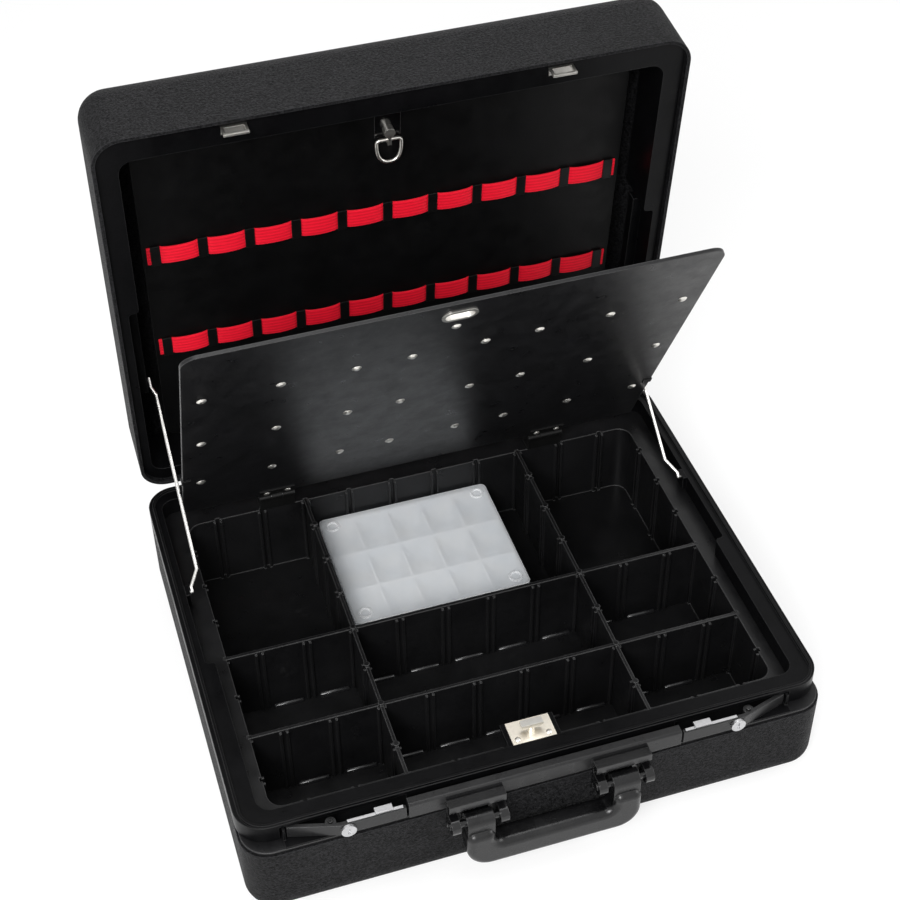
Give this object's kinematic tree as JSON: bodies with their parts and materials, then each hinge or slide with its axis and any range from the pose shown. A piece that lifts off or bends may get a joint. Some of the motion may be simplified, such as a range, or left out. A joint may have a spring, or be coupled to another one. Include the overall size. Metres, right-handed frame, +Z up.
{
  "type": "hard case",
  "caption": "Black hard tool case with hinged lid, rocker latches, swing handle, divided tray, fold-up tool panel, wire lid stays and elastic tool straps.",
  "frame": {"origin": "centre of the base's footprint on the floor", "axes": "+Z up, +X to the right seen from the handle side, +Y towards the hinges; the rest pose is the open case of the picture"},
  "size_m": [0.482, 0.4972, 0.5019],
  "materials": {
    "shell_plastic": "grained black moulding",
    "frame_plastic": "satin black moulding",
    "tray_plastic": "satin black thermoformed sheet",
    "board_plastic": "satin black sheet",
    "band_plastic": "smooth dark grey moulding",
    "handle_plastic": "satin black moulding",
    "red_elastic": "woven elastic",
    "black_elastic": "woven elastic",
    "nickel": "bright nickel plate",
    "steel": "bright zinc plated steel",
    "wire_steel": "drawn steel wire",
    "frosted_plastic": "frosted clear moulding"
  },
  "bodies": {
    "base": {"base_frame": "frame_plastic", "base_shell": "shell_plastic", "base_tray": "tray_plastic", "box_cover": "frosted_plastic", "box_tub": "frosted_plastic", "catch_plate": "nickel", "catch_screws": "nickel", "divider_cross_left": "tray_plastic", "divider_cross_right": "tray_plastic", "divider_long_front": "tray_plastic", "divider_long_rear": "tray_plastic", "front_band": "band_plastic", "handle_bracket_left": "handle_plastic", "handle_bracket_right": "handle_plastic", "handle_rods": "steel", "hinge_leaves_base": "steel", "hinge_pins": "steel", "hinge_rivets_base": "steel", "latch_housing_left": "frame_plastic", "latch_housing_right": "frame_plastic", "latch_pins": "steel", "panel_hinge_brackets": "steel", "panel_hinge_pins": "steel", "stay_blocks": "frame_plastic"},
    "lid": {"lid_shell": "shell_plastic", "lid_frame": "frame_plastic", "lid_board": "board_plastic", "strap_upper": "red_elastic", "strap_lower": "red_elastic", "strap_bars": "frame_plastic", "striker_left": "steel", "striker_right": "steel", "lid_lock_plate": "nickel", "hinge_leaves_lid": "steel", "hinge_rivets_lid": "steel", "stay_keepers": "frame_plastic"},
    "panel": {"tool_panel": "board_plastic", "panel_rivets": "nickel", "panel_loops": "black_elastic", "panel_grommet": "nickel", "panel_clips": "frame_plastic", "panel_hinge_leaves": "steel", "panel_hinge_rivets": "steel"},
    "left_stay": {"stay_left": "wire_steel"},
    "right_stay": {"stay_right": "wire_steel"},
    "carry_handle": {"handle": "handle_plastic"},
    "left_rocker": {"rocker_left": "band_plastic", "latch_hook_left": "steel"},
    "right_rocker": {"rocker_right": "band_plastic", "latch_hook_right": "steel"},
    "left_lock": {"lock_barrel_left": "nickel"},
    "right_lock": {"lock_barrel_right": "nickel"},
    "lid_stud": {"lid_lock_stud": "nickel"},
    "ring": {"lock_ring": "nickel"},
    "button": {"catch_button": "nickel"}
  },
  "joints": [
    {"name": "lid_hinge", "type": "hinge", "parent": "base", "child": "lid", "pos_m": [0, 0.20165, 0.09715], "axis": [1, 0, 0], "range_deg": [0, 83]},
    {"name": "panel_hinge", "type": "hinge", "parent": "base", "child": "panel", "pos_m": [0, 0.1595, 0.0965], "axis": [1, 0, 0], "range_deg": [0, 62.5]},
    {"name": "left_stay_pivot", "type": "hinge", "parent": "base", "child": "left_stay", "pos_m": [-0.216, 0.07, 0.094], "axis": [1, 0, 0], "range_deg": [0, 131.55]},
    {"name": "right_stay_pivot", "type": "hinge", "parent": "base", "child": "right_stay", "pos_m": [0.216, 0.07, 0.094], "axis": [1, 0, 0], "range_deg": [0, 131.55]},
    {"name": "handle_swing", "type": "hinge", "parent": "base", "child": "carry_handle", "pos_m": [0, -0.21075, 0.071], "axis": [-1, 0, 0], "range_deg": [0, 95]},
    {"name": "left_rocker_pivot", "type": "hinge", "parent": "base", "child": "left_rocker", "pos_m": [-0.172, -0.19275, 0.08725], "axis": [0, 0, 1], "range_deg": [0, 5.5]},
    {"name": "right_rocker_pivot", "type": "hinge", "parent": "base", "child": "right_rocker", "pos_m": [0.172, -0.19275, 0.08725], "axis": [0, 0, -1], "range_deg": [0, 5.5]},
    {"name": "left_lock_turn", "type": "hinge", "parent": "left_rocker", "child": "left_lock", "pos_m": [-0.16, -0.19925, 0.08725], "axis": [0, 1, 0], "range_deg": [0, 90]},
    {"name": "right_lock_turn", "type": "hinge", "parent": "right_rocker", "child": "right_lock", "pos_m": [0.16, -0.19925, 0.08725], "axis": [0, 1, 0], "range_deg": [0, 90]},
    {"name": "stud_turn", "type": "hinge", "parent": "lid", "child": "lid_stud", "pos_m": [0, 0.19865, 0.42966], "axis": [0, 0.9925, 0.1219], "range_deg": [0, 90]},
    {"name": "ring_swing", "type": "hinge", "parent": "lid_stud", "child": "ring", "pos_m": [0, 0.19968, 0.42133], "axis": [1, 0, 0], "range_deg": [-50, 5]},
    {"name": "button_turn", "type": "hinge", "parent": "base", "child": "button", "pos_m": [0, -0.1605, 0.1025], "axis": [0, 0, 1], "range_deg": [0, 90]}
  ],
  "couplings": [
    {"joint": "panel_hinge", "follows": "lid_hinge", "ratio": 0.753},
    {"joint": "left_stay_pivot", "follows": "lid_hinge", "ratio": 1.5843},
    {"joint": "right_stay_pivot", "follows": "lid_hinge", "ratio": 1.5843}
  ]
}
